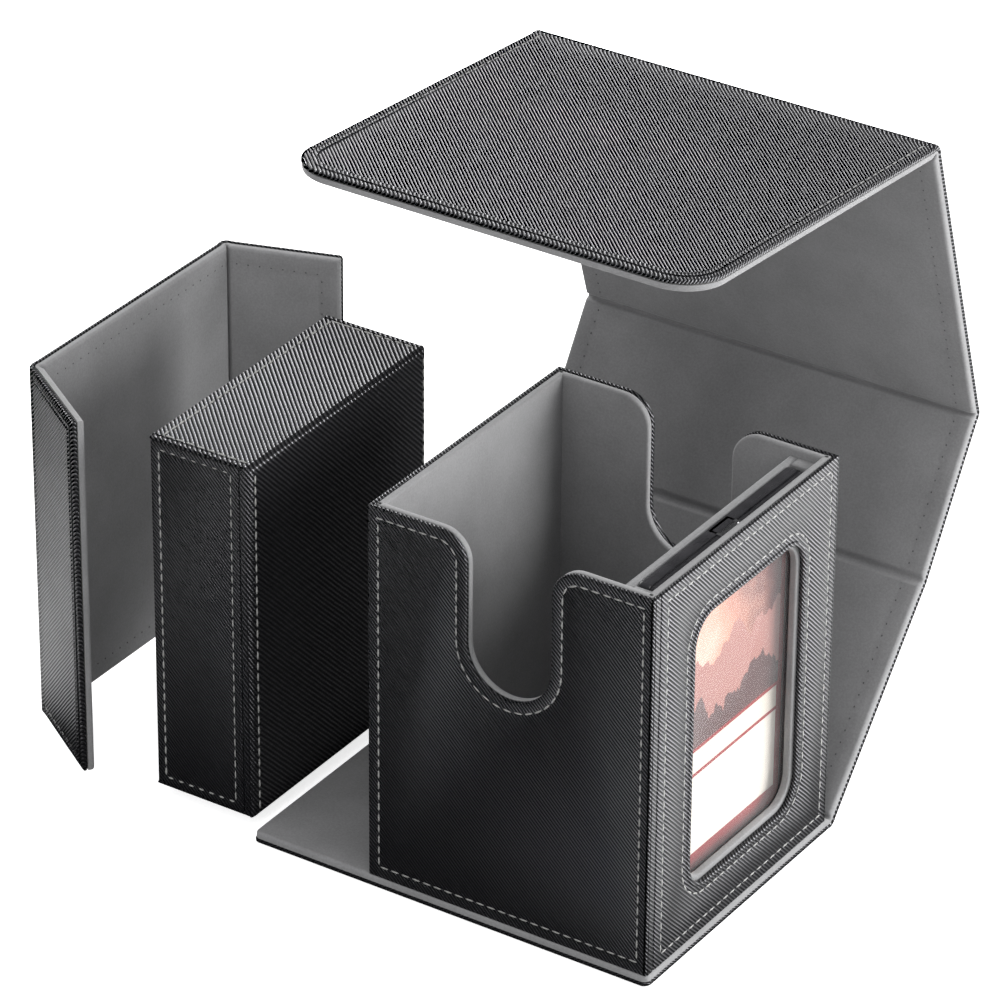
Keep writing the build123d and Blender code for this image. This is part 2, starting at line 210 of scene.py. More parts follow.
floor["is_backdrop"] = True

# ---------------------------------------------------------------------------
# Leather, lining and thread
# The outside is black coated twill with raised diagonal ribs. The inside is grey microfibre with a short nap.
# Everything is sewn with light grey thread.

RIB_PITCH = 0.85 * MM
RIB_WANDER = 3.0
WEAVE_PITCH = 0.52 * MM
WEAVE_SHARE = 0.24
RIB_WAY = (0.7071, 0.7071, 0.7071)
WEAVE_WAY = (0.7071, 0.0, -0.7071)
CREST_SHARPNESS = 1.3
GRAIN_SHARE = 0.08
GLINT_FROM, GLINT_TO = 0.42, 0.78


def group_of(name, takes, gives):
    """An empty shader node group with its sockets, as (group, input node, output node)."""
    group = bpy.data.node_groups.new(name, "ShaderNodeTree")
    for label, kind in takes:
        group.interface.new_socket(name=label, in_out="INPUT", socket_type=kind)
    for label, kind in gives:
        group.interface.new_socket(name=label, in_out="OUTPUT", socket_type=kind)
    return group, group.nodes.new("NodeGroupInput"), group.nodes.new("NodeGroupOutput")


def dot_with(tree, vector, direction):
    """How far a point lies along a direction."""
    node = tree.nodes.new("ShaderNodeVectorMath")
    node.operation = "DOT_PRODUCT"
    tree.links.new(vector, node.inputs[0])
    node.inputs[1].default_value = direction
    return node.outputs["Value"]


def noise_of(tree, vector, scale, detail=3.0, rough=0.55):
    """Noise between 0 and 1 at a scale per metre."""
    node = tree.nodes.new("ShaderNodeTexNoise")
    tree.links.new(vector, node.inputs["Vector"])
    node.inputs["Scale"].default_value = scale
    node.inputs["Detail"].default_value = detail
    node.inputs["Roughness"].default_value = rough
    return node.outputs["Fac"]


def ramp_of(tree, value, stops):
    """A colour ramp on a value."""
    node = tree.nodes.new("ShaderNodeValToRGB")
    tree.links.new(value, node.inputs["Fac"])
    ramp = node.color_ramp
    while len(ramp.elements) < len(stops):
        ramp.elements.new(0.5)
    for element, (place, colour) in zip(ramp.elements, stops):
        element.position = place
        element.color = (*colour, 1)
    return node.outputs["Color"]


def bump_of(tree, height, distance, strength=1.0):
    """A Bump node on a height, and its normal."""
    node = tree.nodes.new("ShaderNodeBump")
    node.inputs["Distance"].default_value = distance
    node.inputs["Strength"].default_value = strength
    tree.links.new(height, node.inputs["Height"])
    return node.outputs["Normal"]


def wave_of(tree, phase):
    """A wave between 0 and 1."""
    return math_node(tree, "MULTIPLY_ADD", math_node(tree, "SINE", phase), 0.5, 0.5)


def new_material(name, gloss=None, roughness=None, metallic=None):
    """A material, as (material, its node tree, the Principled BSDF)."""
    made = bpy.data.materials.new(name)
    made.use_nodes = True
    shader = made.node_tree.nodes["Principled BSDF"]
    for socket, value in (("Specular IOR Level", gloss), ("Roughness", roughness), ("Metallic", metallic)):
        if value is not None:
            shader.inputs[socket].default_value = value
    return made, made.node_tree, shader


def laid_coordinates(tree):
    """The point's place on the flat cloth, before the panel was folded into place."""
    node = tree.nodes.new("ShaderNodeAttribute")
    node.attribute_name = "laid"
    return node.outputs["Vector"]


twill, twill_in, twill_out = group_of(
    "twill_ribs",
    [("Place", "NodeSocketVector")],
    [("Height", "NodeSocketFloat"), ("Crest", "NodeSocketFloat"), ("Gloss", "NodeSocketFloat")],
)
place_in = twill_in.outputs["Place"]
wander = math_node(twill, "MULTIPLY", noise_of(twill, place_in, 90, 2.0), RIB_WANDER)
along = math_node(twill, "MULTIPLY", dot_with(twill, place_in, RIB_WAY), 2 * math.pi / RIB_PITCH)
crest = math_node(twill, "POWER", wave_of(twill, math_node(twill, "ADD", along, wander)), CREST_SHARPNESS)
across = dot_with(twill, place_in, WEAVE_WAY)
across = math_node(twill, "MULTIPLY", across, 2 * math.pi / WEAVE_PITCH)
weave = math_node(twill, "MULTIPLY_ADD", wave_of(twill, across), WEAVE_SHARE, 1 - WEAVE_SHARE)
grain = math_node(twill, "MULTIPLY", noise_of(twill, place_in, 3500, 2.0), GRAIN_SHARE)
height = math_node(twill, "ADD", math_node(twill, "MULTIPLY", crest, weave), grain)
glint = twill.nodes.new("ShaderNodeMapRange")
glint.interpolation_type = "SMOOTHSTEP"
glint.inputs["From Min"].default_value = GLINT_FROM
glint.inputs["From Max"].default_value = GLINT_TO
twill.links.new(height, glint.inputs["Value"])
twill.links.new(height, twill_out.inputs["Height"])
twill.links.new(crest, twill_out.inputs["Crest"])
twill.links.new(glint.outputs["Result"], twill_out.inputs["Gloss"])

VALLEY_BLACK = (0.003, 0.003, 0.0035)
RIB_BLACK = (0.014, 0.014, 0.016)
CREST_GREY = (0.15, 0.15, 0.158)
leather, tree, shader = new_material("black_twill_leather", gloss=0.10)
laid = laid_coordinates(tree)
ribs = tree.nodes.new("ShaderNodeGroup")
ribs.node_tree = twill
tree.links.new(laid, ribs.inputs["Place"])
blacks = ramp_of(tree, ribs.outputs["Crest"], [(0.0, VALLEY_BLACK), (0.45, RIB_BLACK), (1.0, CREST_GREY)])
tree.links.new(blacks, shader.inputs["Base Color"])
rough = math_node(tree, "MULTIPLY_ADD", noise_of(tree, laid, 40), 0.12, 0.27)
tree.links.new(rough, shader.inputs["Roughness"])
tree.links.new(ribs.outputs["Gloss"], shader.inputs["Metallic"])
tree.links.new(bump_of(tree, ribs.outputs["Height"], 0.22 * MM), shader.inputs["Normal"])

LINING_DARK = (0.150, 0.150, 0.152)
LINING_LIGHT = (0.230, 0.230, 0.233)
lining, tree, shader = new_material("grey_microfibre", gloss=0.25, roughness=0.85)
laid = laid_coordinates(tree)
mottle = math_node(tree, "MULTIPLY", noise_of(tree, laid, 60, 5.0, 0.6), 0.45)
fluff = math_node(tree, "MULTIPLY", noise_of(tree, laid, 1700, 3.0, 0.7), 0.55)
greys = ramp_of(tree, math_node(tree, "ADD", mottle, fluff), [(0.3, LINING_DARK), (0.7, LINING_LIGHT)])
tree.links.new(greys, shader.inputs["Base Color"])
shader.inputs["Sheen Weight"].default_value = 0.25
shader.inputs["Sheen Roughness"].default_value = 0.45
brushed = math_node(tree, "MULTIPLY", noise_of(tree, laid, 350, 4.0), 1.2)
nap = math_node(tree, "ADD", noise_of(tree, laid, 4200, 3.0), brushed)
tree.links.new(bump_of(tree, nap, 0.06 * MM, 0.7), shader.inputs["Normal"])


def two_toned(name, dark, light, scale, detail, relief=None, **finish):
    """A material that mottles between two tones, as (material, its node tree, the shader, the mottle)."""
    made, tree, shader = new_material(name, **finish)
    at = tree.nodes.new("ShaderNodeTexCoord").outputs["Object"]
    mottle = noise_of(tree, at, scale, detail)
    tree.links.new(ramp_of(tree, mottle, [(0.3, dark), (0.7, light)]), shader.inputs["Base Color"])
    if relief:
        tree.links.new(bump_of(tree, mottle, relief), shader.inputs["Normal"])
    return made, tree, shader, mottle


thread_grey = two_toned(
    "grey_thread", (0.17, 0.17, 0.165), (0.28, 0.28, 0.27), 2600, 2.0, 0.05 * MM, roughness=0.6
)[0]
# Dark dots of painted shade that stand for the stitch holes on the lining side.
stitch_hole_shade = two_toned(
    "painted_stitch_hole_shade", (0.05, 0.05, 0.05), (0.09, 0.09, 0.09), 2600, 2.0, roughness=0.9
)[0]

# ---------------------------------------------------------------------------
# Boards and magnets
# Every panel and wall is stiffened by pressed greyboard. Nickel-plated magnets are let into some of the
# boards and hold the lid, the tray and its cover shut. Leather and lining hide them.

greyboard = two_toned(
    "pressed_greyboard", (0.28, 0.27, 0.25), (0.38, 0.37, 0.34), 900, 5.0, 0.05 * MM, roughness=0.9
)[0]
magnet_steel = two_toned(
    "nickel_magnet", (0.50, 0.50, 0.50), (0.65, 0.65, 0.64), 1500, 4.0, roughness=0.3, metallic=1.0
)[0]
for name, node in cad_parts.items():
    for ending, material in (("_board", greyboard), ("_magnets", magnet_steel)):
        if name.endswith(ending):
            node.data.materials.clear()
            node.data.materials.append(material)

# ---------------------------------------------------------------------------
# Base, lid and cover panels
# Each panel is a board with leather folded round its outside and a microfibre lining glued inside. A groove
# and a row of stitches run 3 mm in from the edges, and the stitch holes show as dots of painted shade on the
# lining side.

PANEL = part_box("base_skin")[1].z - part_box("base_skin")[0].z
HALF = PANEL / 2
LEATHER_LAYER = 1.5 * MM
REACH = HALF + 0.3 * MM
SEAM_IN = 3.0 * MM
DOTS_IN = 5.0 * MM
GROOVE_HALF = 0.45 * MM
GROOVE_DEPTH = 0.28 * MM
DIMPLE_HALF = 1.1 * MM
DIMPLE_DEPTH = 0.14 * MM
LEATHER_RIM = 1.0 * MM
LINING_RIM = 0.9 * MM
LINING_SHY = 0.25 * MM
STITCH_PITCH = 3.15 * MM
STITCH_SINK = 0.2 * MM
DOT_SINK = 0.16 * MM
STITCH_SIZE = (1.28 * MM, 0.31 * MM, 0.24 * MM)
DOT_SIZE = (0.28 * MM, 0.24 * MM, 0.16 * MM)


def block(name, low, high):
    """A block between two corners, with its place in its mesh."""
    if bpy.context.object and bpy.context.object.mode == "EDIT":
        bpy.ops.object.mode_set(mode="OBJECT")
    bpy.ops.object.select_all(action="DESELECT")
    low, high = Vector(low), Vector(high)
    bpy.ops.mesh.primitive_cube_add(size=1, location=(low + high) / 2, scale=high - low)
    made = bpy.context.object
    made.name = name
    bpy.ops.object.transform_apply(location=True, rotation=True, scale=True)
    return made


def choose(kind, test):
    """Selects edges or faces of the active piece in edit mode, by a test."""
    bpy.ops.object.mode_set(mode="EDIT")
    bpy.ops.mesh.select_mode(type=kind)
    bpy.ops.mesh.select_all(action="DESELECT")
    mesh = bmesh.from_edit_mesh(bpy.context.object.data)
    for item in mesh.edges if kind == "EDGE" else mesh.faces:
        if test(item):
            item.select_set(True)
    mesh.select_flush_mode()
    bmesh.update_edit_mesh(bpy.context.object.data)


def middle_of(edge):
    return (edge.verts[0].co + edge.verts[1].co) / 2


def runs_along(edge, axis):
    """True for an edge that runs along one axis."""
    line = edge.verts[1].co - edge.verts[0].co
    return abs(line[axis]) > 0.99 * line.length


def is_sharp(edge, degrees=50):
    return len(edge.link_faces) == 2 and edge.calc_face_angle(0) > math.radians(degrees)


def press_seam(test, inset=SEAM_IN, half=GROOVE_HALF, depth=GROOVE_DEPTH):
    """Presses a groove round the faces that pass the test, a distance in from their edge."""
    choose("FACE", test)
    bpy.ops.mesh.inset(thickness=inset - half, use_even_offset=True)
    bpy.ops.mesh.inset(thickness=half, depth=-depth, use_even_offset=True)
    bpy.ops.mesh.inset(thickness=half, depth=depth, use_even_offset=True)


def cut_off(place, normal):
    """Cuts the active piece at a plane, closes it, and drops what lies on the normal's side."""
    bpy.ops.object.mode_set(mode="EDIT")
    bpy.ops.mesh.select_all(action="SELECT")
    bpy.ops.mesh.bisect(plane_co=place, plane_no=normal, use_fill=True, clear_outer=True)


def pick(piece):
    """Makes a piece the only selected one, and active."""
    bpy.ops.object.select_all(action="DESELECT")
    piece.select_set(True)
    bpy.context.view_layer.objects.active = piece


SAME_SPOT = 0.0003 * MM


def finish_piece(piece, material, body, place=None, mirror_laid=False, angle=35, cloth=1.0):
    """Notes where each point lies on the cloth, then puts the piece in place on its body."""
    if piece.mode == "EDIT":
        bpy.ops.object.mode_set(mode="OBJECT")
    pick(piece)
    bpy.ops.object.mode_set(mode="EDIT")
    bpy.ops.mesh.select_all(action="SELECT")
    bpy.ops.mesh.remove_doubles(threshold=SAME_SPOT)
    bpy.ops.object.mode_set(mode="OBJECT")
    bpy.ops.object.shade_smooth_by_angle(angle=math.radians(angle))
    mesh = piece.data
    points = np.zeros(len(mesh.vertices) * 3, np.float32)
    mesh.vertices.foreach_get("co", points)
    if mirror_laid:
        points[1::3] *= -1
    points *= cloth
    laid_at = mesh.attributes.new("laid", "FLOAT_VECTOR", "POINT")
    laid_at.data.foreach_set("vector", points)
    if place is not None:
        mesh.transform(place)
    mesh.materials.clear()
    mesh.materials.append(material)
    if body:
        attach(piece, body)
    return piece


def model_stitch(size):
    """One stitch or dot, as its vertices and faces: a squat bead that lies along X."""
    bpy.ops.object.select_all(action="DESELECT")
    bpy.ops.mesh.primitive_uv_sphere_add(segments=8, ring_count=5, radius=1, location=(0, 0, 0))
    made = bpy.context.object
    bpy.ops.transform.resize(value=size)
    bpy.ops.object.transform_apply(location=True, rotation=True, scale=True)
    shape = np.array([v.co for v in made.data.vertices])
    faces = [tuple(p.vertices) for p in made.data.polygons]
    bpy.data.objects.remove(made)
    return shape, faces


stitch_shapes = {"stitch": model_stitch(STITCH_SIZE), "dot": model_stitch(DOT_SIZE)}


def sew(name, runs, material, body, kind="stitch", place=None):
    """Copies a stitch along runs of points. Each run is (points, outward normal, closed)."""
    shape, faces = stitch_shapes[kind]
    all_points, all_faces = [], []
    for points, out, closed in runs:
        path = np.array([tuple(p) for p in points], float)
        if closed:
            path = np.vstack([path, path[:1]])
        steps = np.linalg.norm(np.diff(path, axis=0), axis=1)
        length_at = np.concatenate([[0], np.cumsum(steps)])
        count = max(1, round(length_at[-1] / STITCH_PITCH))
        out = Vector(out)
        for number in range(count):
            at = (number + 0.5) * length_at[-1] / count
            near = min(max(int(np.searchsorted(length_at, at)) - 1, 0), len(steps) - 1)
            share = (at - length_at[near]) / steps[near]
            spot = Vector(path[near] * (1 - share) + path[near + 1] * share)
            ahead = Vector(path[near + 1] - path[near]).normalized()
            side = out.cross(ahead)
            turned = np.array((ahead, side, out)).T
            first = len(all_points) * len(shape)
            all_points.append(shape @ turned.T + np.array(spot))
            all_faces += [tuple(i + first for i in face) for face in faces]
    mesh = bpy.data.meshes.new(name)
    mesh.from_pydata(np.vstack(all_points).tolist(), [], all_faces)
    mesh.update()
    made = bpy.data.objects.new(name, mesh)
    bpy.context.scene.collection.objects.link(made)
    mesh.polygons.foreach_set("use_smooth", [True] * len(mesh.polygons))
    if place is not None:
        mesh.transform(place)
    mesh.materials.append(material)
    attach(made, body)


def arc(centre, radius, first, last, steps, put):
    """Points of an arc between two angles in degrees; put turns two flat numbers into a point."""
    points = []
    for number in range(steps + 1):
        angle = math.radians(first + (last - first) * number / steps)
        points.append(put(centre[0] + radius * math.cos(angle), centre[1] + radius * math.sin(angle)))
    return points


def row_along_edges(width, start, end, corner, inset, z, free_end):
    """A seam's path on a panel: up one side, round the free end if there is one, and down the other side."""
    half = width / 2 - inset

    def put(x, y):
        return (x, y, z)

    if not free_end:
        return [[put(-half, start), put(-half, end)], [put(half, start), put(half, end)]]
    turn_r = max(corner - inset, 0.4 * MM)
    path = [put(-half, start)]
    path += arc((-half + turn_r, end - inset - turn_r), turn_r, 180, 90, 6, put)
    path += arc((half - turn_r, end - inset - turn_r), turn_r, 90, 0, 6, put)
    path += [put(half, start)]
    return [path]


def make_panel(name, body, place, width, start, end, corner=0.0, free_end=False):
    """Leather, lining and stitches of one panel. It lies with its crease at Y = 0 and its lining towards +Z."""
    spare = 8 * MM
    far = end if free_end else end + spare

    def shape_layer(layer, low_z, high_z, inset, rim, seam_in, depth, outer):
        piece = block(
            f"{name}_{layer}",
            (-width / 2 + inset, start - spare, low_z),
            (width / 2 - inset, far - (inset if free_end else 0), high_z),
        )
        if corner:
            choose("EDGE", lambda e: runs_along(e, 2) and middle_of(e).y > end - spare)
            bpy.ops.mesh.bevel(offset=corner - inset, segments=12, affect="EDGES")
        half = GROOVE_HALF if outer else DIMPLE_HALF
        if corner == 0 or corner - inset > seam_in + half:
            press_seam(lambda f: abs(f.normal.z + (1 if outer else -1)) < 0.1, seam_in, half, depth)
        cut_off((0, start, 0), (0, -1, 0))
        if not free_end:
            cut_off((0, end, 0), (0, 1, 0))

        def on_rim(e):
            at = middle_of(e)
            at_fold = abs(at.y - start) < 1e-6 or (not free_end and abs(at.y - end) < 1e-6)
            level = low_z if outer else high_z
            on_face = all(abs(v.co.z - level) < 1e-6 for v in e.verts)
            return is_sharp(e) and not at_fold and (on_face or outer)

        choose("EDGE", on_rim)
        bpy.ops.mesh.bevel(offset=rim, segments=4, affect="EDGES")
        return piece

    split = -HALF + LEATHER_LAYER
    skin = shape_layer("leather", -HALF, split, 0.0, LEATHER_RIM, SEAM_IN, GROOVE_DEPTH, True)
    finish_piece(skin, leather, body, place, mirror_laid=True)
    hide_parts(f"{name}_skin")
    liner = shape_layer("liner", split, HALF, LINING_SHY, LINING_RIM, DOTS_IN, DIMPLE_DEPTH, False)
    finish_piece(liner, lining, body, place, mirror_laid=True)
    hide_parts(f"{name}_lining")
    rows = row_along_edges(width, start, end, corner, SEAM_IN, -HALF + STITCH_SINK, free_end)
    sew(f"{name}_stitches", [(r, (0, 0, -1), False) for r in rows], thread_grey, body, "stitch", place)
    # The dots on the lining are painted shade of the stitch holes.
    rows = row_along_edges(width, start, end, corner, DOTS_IN, HALF - DOT_SINK, free_end)
    sew(f"{name}_dots", [(r, (0, 0, 1), False) for r in rows], stitch_hole_shade, body, "dot", place)


def facing(origin, ahead, inward):
    """Places a panel: local Y points ahead from its crease and local Z towards its lining."""
    ahead, inward = Vector(ahead).normalized(), Vector(inward).normalized()
    turn = Matrix((ahead.cross(inward), ahead, inward)).transposed()
    return Matrix.Translation(origin) @ turn.to_4x4()


def centre_of(node):
    low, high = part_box(node)
    return (low + high) / 2


def mean_point(node):
    """The mean of a node's corner points."""
    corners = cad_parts[node].data.vertices
    return sum((v.co for v in corners), Vector()) / len(corners)


def inward_from(ahead):
    """The lining side of a lid panel, a quarter turn from the way it runs."""
    return Vector((0, -ahead.z, ahead.y))


BASE_CORNER = 2 * MM
FLAP_CORNER = 12 * MM
base_low, base_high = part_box("base_skin")
width = base_high.x - base_low.x
folds = [centre_of(n) for n in ("crease_base", "crease_back", "crease_top", "crease_front")]
flap_ahead = mean_point("front_flap_board") - folds[3]
flap_ahead.x = 0
flap_ahead.normalize()
flap_length = (folds[3].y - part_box("front_flap_skin")[0].y) / abs(flap_ahead.y) - 0.1 * MM

base_place = facing(folds[0], (0, -1, 0), (0, 0, 1))
make_panel("base", "box", base_place, width, REACH, folds[0].y - base_low.y, BASE_CORNER, True)
for number, name in enumerate(("back_lower", "back_upper", "lid_top")):
    ahead = folds[number + 1] - folds[number]
    place = facing(folds[number], ahead, inward_from(ahead))
    make_panel(name, name, place, width, REACH, ahead.length - REACH)
flap_place = facing(folds[3], flap_ahead, inward_from(flap_ahead))
make_panel("front_flap", "front_flap", flap_place, width, REACH, flap_length, FLAP_CORNER, True)

# The cover of the dice tray is made the same way, from a middle panel and two flaps with upright creases.

cover_low, cover_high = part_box("cover_creases")
cover_width = cover_high.z - cover_low.z
cover_mid_z = (cover_high.z + cover_low.z) / 2
front_fold = Vector((cover_low.x + HALF, cover_low.y + HALF, cover_mid_z))
back_fold = Vector((cover_low.x + HALF, cover_high.y - HALF, cover_mid_z))


def flap_run(node, fold):
    """The way a cover flap runs from its crease, and how far."""
    run = mean_point(node) - fold
    run.z = 0
    run.normalize()
    reach = max((v.co - fold).dot(run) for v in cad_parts[node].data.vertices)
    return run, reach


front_run, front_reach = flap_run("cover_front_skin", front_fold)
back_run, back_reach = flap_run("cover_back_skin", back_fold)
up = Vector((0, 0, 1))
middle_place = facing(back_fold, (0, -1, 0), (1, 0, 0))
cover_length = back_fold.y - front_fold.y
make_panel("cover", "tray_cover", middle_place, cover_width, REACH, cover_length - REACH)
front_place = facing(front_fold, front_run, up.cross(front_run))
make_panel("cover_front", "cover_front_flap", front_place, cover_width, REACH, front_reach, 0, True)
back_place = facing(back_fold, back_run, -up.cross(back_run))
make_panel("cover_back", "cover_back_flap", back_place, cover_width, REACH, back_reach, 0, True)

# ---------------------------------------------------------------------------
# Creases
# Between two panels the leather runs on round the outside of the fold and the lining dips into it. Both are
# bent once to the angle of the fold as it stands.

CREASE_DIP = 0.75 * MM
CREASE_CUTS = 15


def make_crease(name, stands_for, bodies, fold, before, after, width):
    """The leather and the lining across one fold, between the way the panels run before and after it."""
    before, after = Vector(before).normalized(), Vector(after).normalized()
    axis = before.cross(after).normalized()
    bend = before.angle(after)
    place = facing(fold, before, axis.cross(before))
    start, end = fold - before * REACH, fold + after * REACH

    def along_fold(vertex):
        return min(max((vertex.co.y + REACH) / (2 * REACH), 0), 1)

    def strip(layer, low_z, high_z, inset, rim, dip):
        half = width / 2 - inset
        piece = block(f"{name}_{layer}", (-half, -REACH, low_z), (half, REACH, high_z))
        level = low_z if dip == 0 else high_z
        choose("EDGE", lambda e: runs_along(e, 1) and (dip == 0 or abs(middle_of(e).z - level) < 1e-6))
        bpy.ops.mesh.bevel(offset=rim, segments=4, affect="EDGES")
        choose("EDGE", lambda e: runs_along(e, 1))
        bpy.ops.mesh.subdivide(number_cuts=CREASE_CUTS)
        bpy.ops.object.mode_set(mode="OBJECT")
        for vertex in piece.data.vertices:
            if dip and vertex.co.z > low_z + 1e-6:
                up_share = (vertex.co.z - low_z) / (high_z - low_z)
                vertex.co.z -= dip * math.sin(math.pi * along_fold(vertex)) ** 2 * up_share
        return piece

    def bend_round(piece):
        for vertex in piece.data.vertices:
            t = along_fold(vertex)
            w = t * t * (3 - 2 * t)
            vertex.co = Matrix.Rotation(w * bend, 3, "X") @ vertex.co

    for layer, low_z, high_z, inset, rim, dip, paint in (
        ("leather", -HALF, -HALF + LEATHER_LAYER, 0.0, LEATHER_RIM, 0, leather),
        ("lining", -HALF + LEATHER_LAYER, HALF, LINING_SHY, LINING_RIM, CREASE_DIP, lining),
    ):
        piece = strip(layer, low_z, high_z, inset, rim, dip)
        finish_piece(piece, paint, None, mirror_laid=True, angle=60)
        bend_round(piece)
        piece.data.transform(place)
        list(bodies)
        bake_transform(piece)
        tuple(start)
        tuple(end)
        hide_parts(stands_for)


lid_ways = [Vector((0, 1, 0))] + [folds[n + 1] - folds[n] for n in range(3)] + [flap_ahead]
lid_bodies = ("box", "back_lower", "back_upper", "lid_top", "front_flap")
for number, crease in enumerate(("crease_base", "crease_back", "crease_top", "crease_front")):
    pair = lid_bodies[number : number + 2]
    make_crease(f"{crease}_fold", crease, pair, folds[number], *lid_ways[number : number + 2], width)
for side, fold, before, after in (
    ("front", front_fold, (0, -1, 0), front_run),
    ("back", back_fold, (0, 1, 0), back_run),
):
    pair = ("tray_cover", f"cover_{side}_flap")
    make_crease(f"cover_{side}_fold", "cover_creases", pair, fold, before, after, cover_width)

# ---------------------------------------------------------------------------
# Card compartment
# Four boards wrapped in leather, with a microfibre lining glued to the inside of each. The front and back
# walls have a rounded finger cut, and the right wall a rounded window with a rolled leather bead round it.

box_low, box_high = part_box("compartment_skin")
WALL_LEATHER = 1.25 * MM
CUT_HALF = 12 * MM
CUT_BOTTOM = box_high.z - 41 * MM
CUT_SHOULDER = 8 * MM
WALL_RIM = 0.4 * MM
WALL_LINING_RIM = 0.7 * MM
box_mid_x = (box_low.x + box_high.x) / 2
inner_low = box_low + Vector((PANEL, PANEL, 0))
inner_high = box_high - Vector((PANEL, PANEL, 0))
bottom_z = box_low.z
LINING_DROP = 0.1 * MM


def cut_with(piece, cutter):
    """Takes one block out of another."""
    if bpy.context.object.mode == "EDIT":
        bpy.ops.object.mode_set(mode="OBJECT")
    tool = piece.modifiers.new("cut", "BOOLEAN")
    tool.operation = "DIFFERENCE"
    tool.solver = "EXACT"
    tool.object = cutter
    pick(piece)
    bpy.ops.object.modifier_apply(modifier=tool.name)
    bpy.data.objects.remove(cutter)


def cut_finger_notch(piece, grow=0.0):
    """Cuts the U-shaped finger cut through a wall and rounds its bottom and its shoulders."""
    half, bottom = CUT_HALF + grow, CUT_BOTTOM - grow
    low = (box_mid_x - half, box_low.y - 1 * MM, bottom)
    high = (box_mid_x + half, box_high.y + 1 * MM, box_high.z + 1 * MM)
    cut_with(piece, block("cutter", low, high))
    top = max(v.co.z for v in piece.data.vertices)

    def at_corner(e, z):
        at = middle_of(e)
        return runs_along(e, 1) and abs(abs(at.x - box_mid_x) - half) < 1e-5 and abs(at.z - z) < 1e-5

    choose("EDGE", lambda e: at_corner(e, bottom))
    bpy.ops.mesh.bevel(offset=half * 0.9995, segments=14, affect="EDGES", clamp_overlap=False)
    choose("EDGE", lambda e: at_corner(e, top))
    bpy.ops.mesh.bevel(offset=CUT_SHOULDER - grow, segments=10, affect="EDGES", clamp_overlap=False)
    bpy.ops.mesh.select_all(action="SELECT")
    bpy.ops.mesh.remove_doubles(threshold=0.03 * MM)


def notch_path(inset, y):
    """The seam round a notched wall's face."""
    left, right = box_low.x + inset, box_high.x - inset
    low, top = box_low.z + inset, box_high.z

    def put(x, z):
        return (x, y, z)

    shoulder = CUT_SHOULDER - inset
    path = [put(left, low), put(left, top - inset)]
    path += arc((box_mid_x - CUT_HALF - CUT_SHOULDER, top - CUT_SHOULDER), shoulder, 90, 0, 6, put)
    path += arc((box_mid_x, CUT_BOTTOM + CUT_HALF), CUT_HALF + inset, 180, 360, 16, put)
    path += arc((box_mid_x + CUT_HALF + CUT_SHOULDER, top - CUT_SHOULDER), shoulder, 180, 90, 6, put)
    path += [put(right, top - inset), put(right, low)]
    return path


def rim_bevel(offset, test, segments=3):
    """Rounds the sharp edges that pass the test."""
    choose("EDGE", lambda e: is_sharp(e) and test(e))
    bpy.ops.mesh.bevel(offset=offset, segments=segments, affect="EDGES", clamp_overlap=True)


def above_foot(edge):
    """True for the edges of a wall that don't stand on the base."""
    return middle_of(edge).z > bottom_z + 0.1 * MM


def cover_wall(wall):
    """Finishes the leather of one wall of the compartment."""
    finish_piece(wall, leather, "box")
    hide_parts("compartment_skin")


def line_wall(liner, rim=WALL_LINING_RIM):
    """Rounds and finishes the lining of one wall of the compartment."""
    rim_bevel(rim, above_foot, 4)
    finish_piece(liner, lining, "box")
    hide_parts("compartment_lining")


for side, way in (("front", -1), ("back", 1)):
    outer_y = box_low.y if way < 0 else box_high.y
    inner_y = inner_low.y if way < 0 else inner_high.y
    split_y = outer_y - way * WALL_LEATHER
    ys = sorted((outer_y, split_y))
    wall = block(
        f"compartment_{side}_leather", (box_low.x, ys[0], bottom_z), (box_high.x, ys[1], box_high.z)
    )
    cut_finger_notch(wall)
    press_seam(lambda f: f.normal.y * way > 0.9)
    rim_bevel(WALL_RIM, above_foot)
    cover_wall(wall)
    ys = sorted((inner_y, split_y))
    liner = block(
        f"compartment_{side}_liner",
        (box_low.x + WALL_LEATHER, ys[0], bottom_z),
        (box_high.x - WALL_LEATHER, ys[1], box_high.z - LINING_DROP),
    )
    cut_finger_notch(liner, 0.05 * MM)
    line_wall(liner)
    seam = notch_path(SEAM_IN, outer_y - way * STITCH_SINK)
    sew(f"compartment_{side}_stitches", [(seam, (0, way, 0), True)], thread_grey, "box")

left_split = box_low.x + WALL_LEATHER
LEFT_SHY = WALL_LEATHER * 0.2
wall = block(
    "compartment_left_leather",
    (box_low.x, box_low.y + LEFT_SHY, bottom_z),
    (left_split, box_high.y - LEFT_SHY, box_high.z),
)
press_seam(lambda f: f.normal.x < -0.9)
rim_bevel(WALL_RIM, above_foot)
cover_wall(wall)
liner = block(
    "compartment_left_liner",
    (left_split, box_low.y + WALL_LEATHER, bottom_z),
    (inner_low.x, box_high.y - WALL_LEATHER, box_high.z - LINING_DROP),
)
line_wall(liner)


def rectangle_path(low, high, put):
    """A closed rectangular seam."""
    return [put(low[0], low[1]), put(low[0], high[1]), put(high[0], high[1]), put(high[0], low[1])]


seam_low = (box_low.y + SEAM_IN, box_low.z + SEAM_IN)
seam_high = (box_high.y - SEAM_IN, box_high.z - SEAM_IN)
path = rectangle_path(seam_low, seam_high, lambda y, z: (box_low.x + STITCH_SINK, y, z))
sew("compartment_left_stitches", [(path, (-1, 0, 0), True)], thread_grey, "box")

# ---------------------------------------------------------------------------
# Window wall of the compartment
# The right wall is covered by its own piece of leather, cut out round the window and edged with a rolled
# bead. The front wall's leather turns the corner and ends in a narrow strip beside it.

WINDOW_MID = Vector((0, 1.5 * MM, box_low.z + 52 * MM))
WINDOW_HALF = (25 * MM, 38 * MM)
WINDOW_R = 8 * MM
WINDOW_CUT = 8 * MM
LINING_LIP = 1.2 * MM
FRONT_EDGE = 3.4 * MM
STRIP_GAP = 0.35 * MM
BACK_SHY = 0.2 * MM


